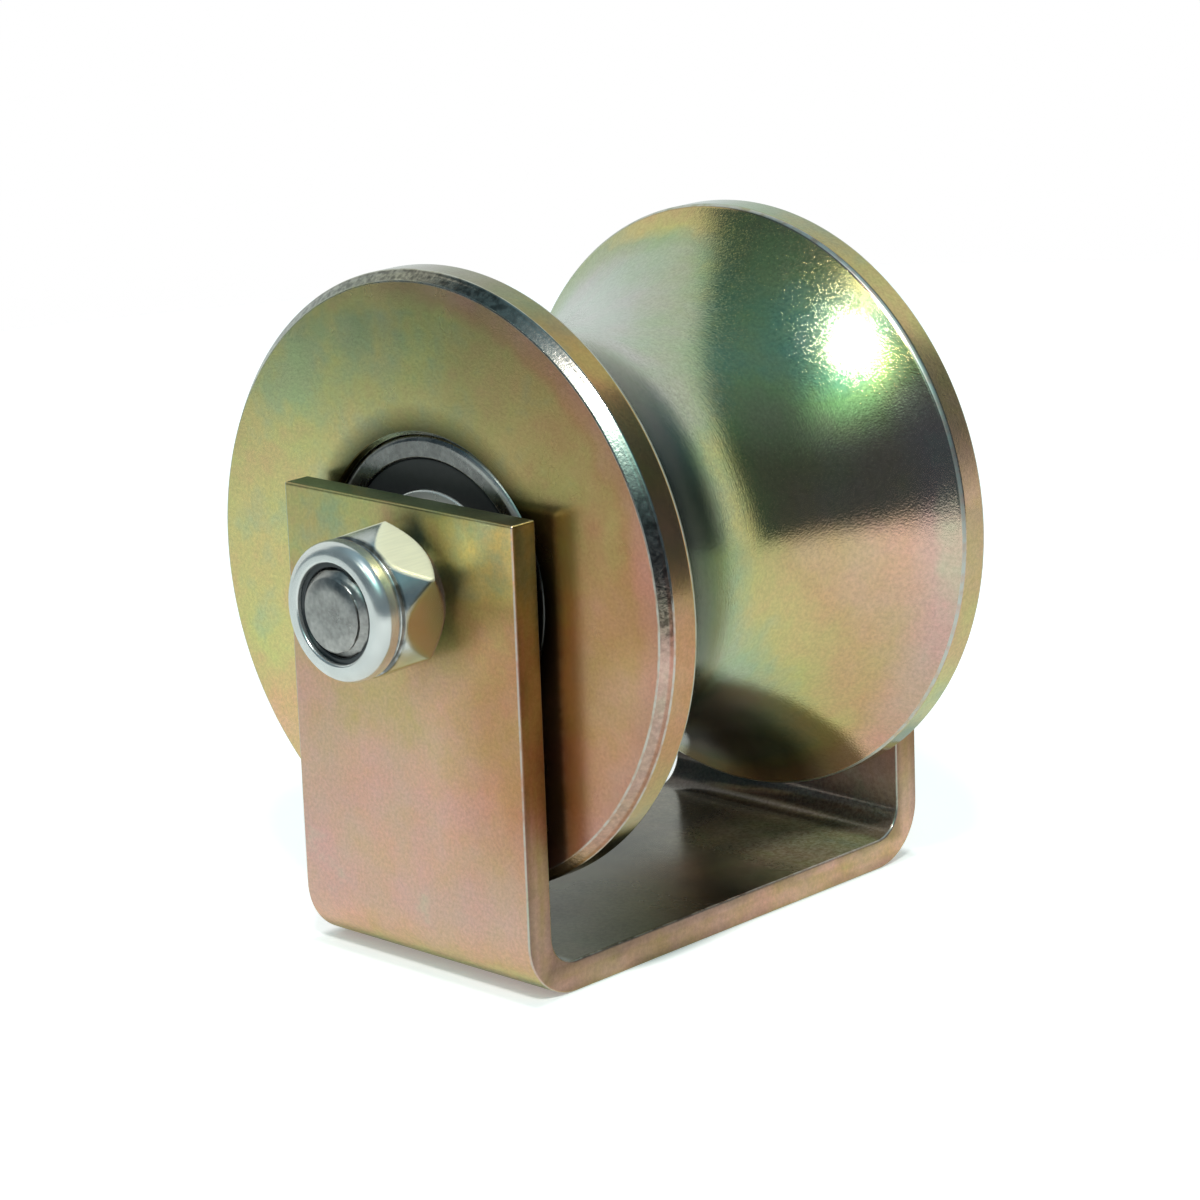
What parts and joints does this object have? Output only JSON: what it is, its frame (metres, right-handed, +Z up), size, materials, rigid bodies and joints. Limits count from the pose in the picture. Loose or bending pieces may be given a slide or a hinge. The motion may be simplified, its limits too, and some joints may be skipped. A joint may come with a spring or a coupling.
{
  "type": "u-groove guide wheel",
  "caption": "U-groove guide wheel of plated steel on sealed ball bearings, held by a bolt and lock nut in a bent strip bracket.",
  "frame": {"origin": "centre of the bracket's flat bottom face, which is welded or rests on the carrier", "axes": "+Z is up from the bottom face to the axle; the axle lies along Y with the nut at -Y; +X is the rail's direction"},
  "size_m": [0.098, 0.1162, 0.1106],
  "materials": {
    "plated_strip": "yellow zinc plating on bent strip, gold to olive and pink",
    "plated_wheel": "yellow zinc plating on a turned surface, glossy, gold to green and pink",
    "zinc": "bright bluish zinc",
    "bolt_steel": "grey steel, satin",
    "nylon": "black nylon",
    "ring_steel": "ground bearing steel",
    "ball_steel": "polished",
    "cage_steel": "pressed sheet",
    "seal_rubber": "black rubber, smooth",
    "spacer_steel": "turned steel, dull"
  },
  "bodies": {
    "bracket": {"bracket": "plated_strip", "bolt": "bolt_steel", "nut_body": "zinc", "nut_insert": "nylon", "near_spacer": "spacer_steel", "far_spacer": "spacer_steel", "inner_sleeve": "spacer_steel", "near_inner_ring": "ring_steel", "far_inner_ring": "ring_steel"},
    "wheel": {"wheel": "plated_wheel", "near_outer_ring": "ring_steel", "near_front_seal": "seal_rubber", "near_back_seal": "seal_rubber", "far_outer_ring": "ring_steel", "far_front_seal": "seal_rubber", "far_back_seal": "seal_rubber"},
    "near_ball_set": {"near_balls": "ball_steel", "near_cage_front": "cage_steel", "near_cage_back": "cage_steel", "near_cage_rivets": "cage_steel"},
    "far_ball_set": {"far_balls": "ball_steel", "far_cage_front": "cage_steel", "far_cage_back": "cage_steel", "far_cage_rivets": "cage_steel"}
  },
  "joints": [
    {"name": "wheel_spin", "type": "hinge", "parent": "bracket", "child": "wheel", "pos_m": [0, 0, 0.0616], "axis": [0, 1, 0], "continuous": true},
    {"name": "near_ball_set_spin", "type": "hinge", "parent": "bracket", "child": "near_ball_set", "pos_m": [0, 0, 0.0616], "axis": [0, 1, 0], "continuous": true},
    {"name": "far_ball_set_spin", "type": "hinge", "parent": "bracket", "child": "far_ball_set", "pos_m": [0, 0, 0.0616], "axis": [0, 1, 0], "continuous": true}
  ],
  "couplings": [
    {"joint": "near_ball_set_spin", "follows": "wheel_spin", "ratio": 0.6185},
    {"joint": "far_ball_set_spin", "follows": "wheel_spin", "ratio": 0.6185}
  ]
}
